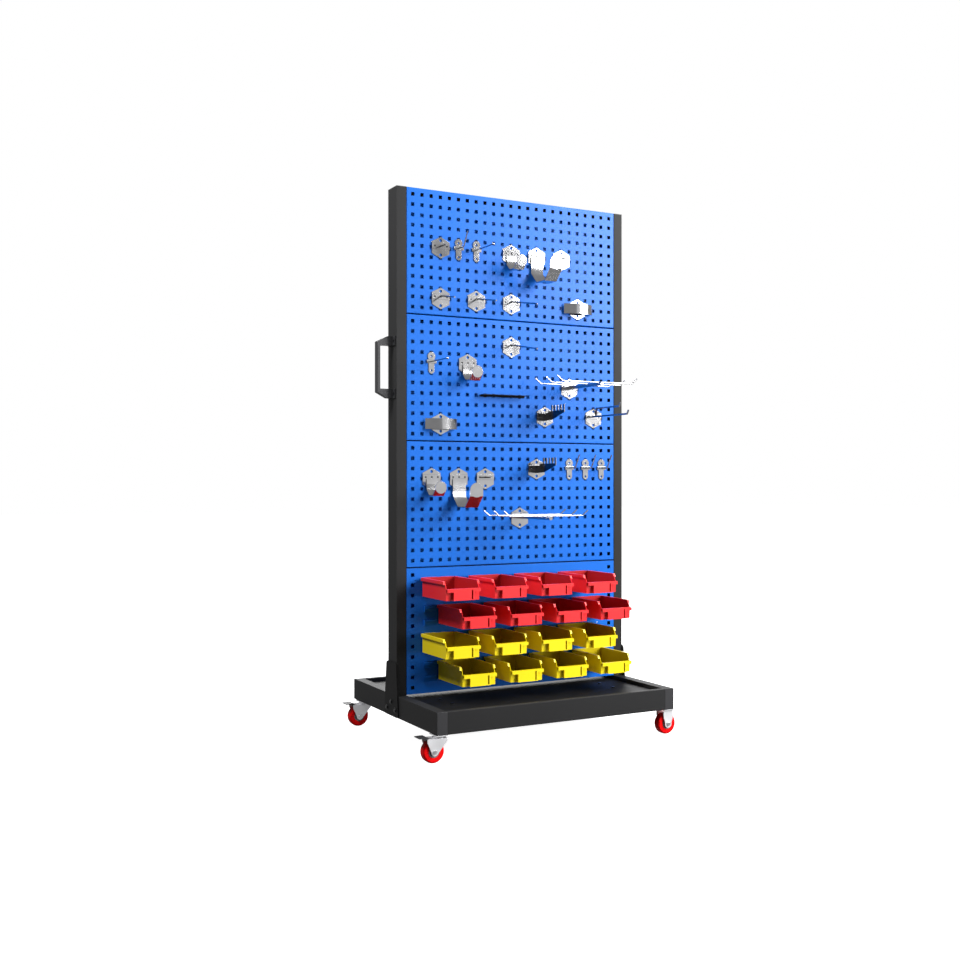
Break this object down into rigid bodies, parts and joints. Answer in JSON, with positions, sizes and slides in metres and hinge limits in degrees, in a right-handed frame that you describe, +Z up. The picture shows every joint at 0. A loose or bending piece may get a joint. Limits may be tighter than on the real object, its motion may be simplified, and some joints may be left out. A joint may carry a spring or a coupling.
{
  "type": "pegboard tool rack with bins",
  "caption": "Wheeled upright rack with square-hole peg panels and assorted hooks above, and a louvred panel of hanging parts bins over a base tray.",
  "frame": {"origin": "on the floor, midway between the uprights and in their middle plane", "axes": "+Z up, +X to the right as seen from the bin side, +Y from the bins towards the rear panels"},
  "size_m": [1.088, 0.767, 2.0581],
  "materials": {
    "frame_paint": "fine-textured dark grey powder coat",
    "black_paint": "satin black powder coat",
    "panel_paint": "semi-gloss blue powder coat",
    "black_plastic": "matt",
    "black_oxide": "black oxide",
    "zinc": "bright zinc plate",
    "bolt_steel": "plated",
    "bright_plating": "bright nickel plate",
    "bin_red": "semi-gloss moulded",
    "bin_yellow": "semi-gloss moulded",
    "tyre_red": "satin polyurethane",
    "hub_plastic": "moulded"
  },
  "bodies": {
    "rack": {"base_side_rails": "frame_paint", "base_cross_rails": "frame_paint", "tray_bearers": "frame_paint", "uprights": "frame_paint", "cross_tubes": "frame_paint", "tray_sheet": "black_paint", "side_brackets": "black_paint", "holed_strip": "black_paint", "tube_caps": "black_plastic", "push_handle": "black_plastic", "peg_panel_top": "panel_paint", "peg_panel_middle": "panel_paint", "peg_panel_lower": "panel_paint", "louvre_panel": "panel_paint", "rear_panels": "panel_paint", "swivel_plates": "zinc", "rigid_forks": "zinc", "frame_bolts": "black_oxide", "rigid_axles": "bolt_steel", "caster_bolts": "bolt_steel", "single_hooks": "bright_plating", "short_hooks": "bright_plating", "rod_hooks": "bright_plating", "ring_hooks": "bright_plating", "small_pipe_holders": "bright_plating", "large_pipe_holders": "bright_plating", "wire_shelves": "bright_plating", "strip_loops": "bright_plating", "comb_holders": "bright_plating", "prong_hook": "bright_plating"},
    "front_swivel": {"front_swivel_fork": "zinc", "front_swivel_axle": "bolt_steel"},
    "rear_swivel": {"rear_swivel_fork": "zinc", "rear_swivel_axle": "bolt_steel"},
    "front_pedal": {"front_brake_pedal": "black_plastic"},
    "rear_pedal": {"rear_brake_pedal": "black_plastic"},
    "front_left_wheel": {"front_left_tyre": "tyre_red", "front_left_hub": "hub_plastic"},
    "rear_left_wheel": {"rear_left_tyre": "tyre_red", "rear_left_hub": "hub_plastic"},
    "front_right_wheel": {"front_right_tyre": "tyre_red", "front_right_hub": "hub_plastic"},
    "rear_right_wheel": {"rear_right_tyre": "tyre_red", "rear_right_hub": "hub_plastic"},
    "hanging_bin_a1": {"bin_a1": "bin_red"},
    "hanging_bin_a2": {"bin_a2": "bin_red"},
    "hanging_bin_a3": {"bin_a3": "bin_red"},
    "hanging_bin_a4": {"bin_a4": "bin_red"},
    "hanging_bin_b1": {"bin_b1": "bin_red"},
    "hanging_bin_b2": {"bin_b2": "bin_red"},
    "hanging_bin_b3": {"bin_b3": "bin_red"},
    "hanging_bin_b4": {"bin_b4": "bin_red"},
    "hanging_bin_c1": {"bin_c1": "bin_yellow"},
    "hanging_bin_c2": {"bin_c2": "bin_yellow"},
    "hanging_bin_c3": {"bin_c3": "bin_yellow"},
    "hanging_bin_c4": {"bin_c4": "bin_yellow"},
    "hanging_bin_d1": {"bin_d1": "bin_yellow"},
    "hanging_bin_d2": {"bin_d2": "bin_yellow"},
    "hanging_bin_d3": {"bin_d3": "bin_yellow"},
    "hanging_bin_d4": {"bin_d4": "bin_yellow"}
  },
  "joints": [
    {"name": "front_swivel_turn", "type": "hinge", "parent": "rack", "child": "front_swivel", "pos_m": [-0.482, -0.353, 0.086], "axis": [0, 0, 1], "continuous": true},
    {"name": "front_pedal_press", "type": "hinge", "parent": "front_swivel", "child": "front_pedal", "pos_m": [-0.527, -0.353, 0.082], "axis": [0, -1, 0], "range_deg": [0, 10]},
    {"name": "front_left_roll", "type": "hinge", "parent": "front_swivel", "child": "front_left_wheel", "pos_m": [-0.507, -0.353, 0.04], "axis": [0, 1, 0], "continuous": true},
    {"name": "front_right_roll", "type": "hinge", "parent": "rack", "child": "front_right_wheel", "pos_m": [0.482, -0.353, 0.04], "axis": [0, 1, 0], "continuous": true},
    {"name": "rear_swivel_turn", "type": "hinge", "parent": "rack", "child": "rear_swivel", "pos_m": [-0.482, 0.3295, 0.086], "axis": [0, 0, 1], "continuous": true},
    {"name": "rear_pedal_press", "type": "hinge", "parent": "rear_swivel", "child": "rear_pedal", "pos_m": [-0.527, 0.3295, 0.082], "axis": [0, -1, 0], "range_deg": [0, 10]},
    {"name": "rear_left_roll", "type": "hinge", "parent": "rear_swivel", "child": "rear_left_wheel", "pos_m": [-0.507, 0.3295, 0.04], "axis": [0, 1, 0], "continuous": true},
    {"name": "rear_right_roll", "type": "hinge", "parent": "rack", "child": "rear_right_wheel", "pos_m": [0.482, 0.3295, 0.04], "axis": [0, 1, 0], "continuous": true},
    {"name": "bin_a1_lift", "type": "slide", "parent": "rack", "child": "hanging_bin_a1", "axis": [0, 0, 1], "range_m": [0, 0.022]},
    {"name": "bin_a2_lift", "type": "slide", "parent": "rack", "child": "hanging_bin_a2", "axis": [0, 0, 1], "range_m": [0, 0.022]},
    {"name": "bin_a3_lift", "type": "slide", "parent": "rack", "child": "hanging_bin_a3", "axis": [0, 0, 1], "range_m": [0, 0.022]},
    {"name": "bin_a4_lift", "type": "slide", "parent": "rack", "child": "hanging_bin_a4", "axis": [0, 0, 1], "range_m": [0, 0.022]},
    {"name": "bin_b1_lift", "type": "slide", "parent": "rack", "child": "hanging_bin_b1", "axis": [0, 0, 1], "range_m": [0, 0.022]},
    {"name": "bin_b2_lift", "type": "slide", "parent": "rack", "child": "hanging_bin_b2", "axis": [0, 0, 1], "range_m": [0, 0.022]},
    {"name": "bin_b3_lift", "type": "slide", "parent": "rack", "child": "hanging_bin_b3", "axis": [0, 0, 1], "range_m": [0, 0.022]},
    {"name": "bin_b4_lift", "type": "slide", "parent": "rack", "child": "hanging_bin_b4", "axis": [0, 0, 1], "range_m": [0, 0.022]},
    {"name": "bin_c1_lift", "type": "slide", "parent": "rack", "child": "hanging_bin_c1", "axis": [0, 0, 1], "range_m": [0, 0.022]},
    {"name": "bin_c2_lift", "type": "slide", "parent": "rack", "child": "hanging_bin_c2", "axis": [0, 0, 1], "range_m": [0, 0.022]},
    {"name": "bin_c3_lift", "type": "slide", "parent": "rack", "child": "hanging_bin_c3", "axis": [0, 0, 1], "range_m": [0, 0.022]},
    {"name": "bin_c4_lift", "type": "slide", "parent": "rack", "child": "hanging_bin_c4", "axis": [0, 0, 1], "range_m": [0, 0.022]},
    {"name": "bin_d1_lift", "type": "slide", "parent": "rack", "child": "hanging_bin_d1", "axis": [0, 0, 1], "range_m": [0, 0.022]},
    {"name": "bin_d2_lift", "type": "slide", "parent": "rack", "child": "hanging_bin_d2", "axis": [0, 0, 1], "range_m": [0, 0.022]},
    {"name": "bin_d3_lift", "type": "slide", "parent": "rack", "child": "hanging_bin_d3", "axis": [0, 0, 1], "range_m": [0, 0.022]},
    {"name": "bin_d4_lift", "type": "slide", "parent": "rack", "child": "hanging_bin_d4", "axis": [0, 0, 1], "range_m": [0, 0.022]}
  ]
}
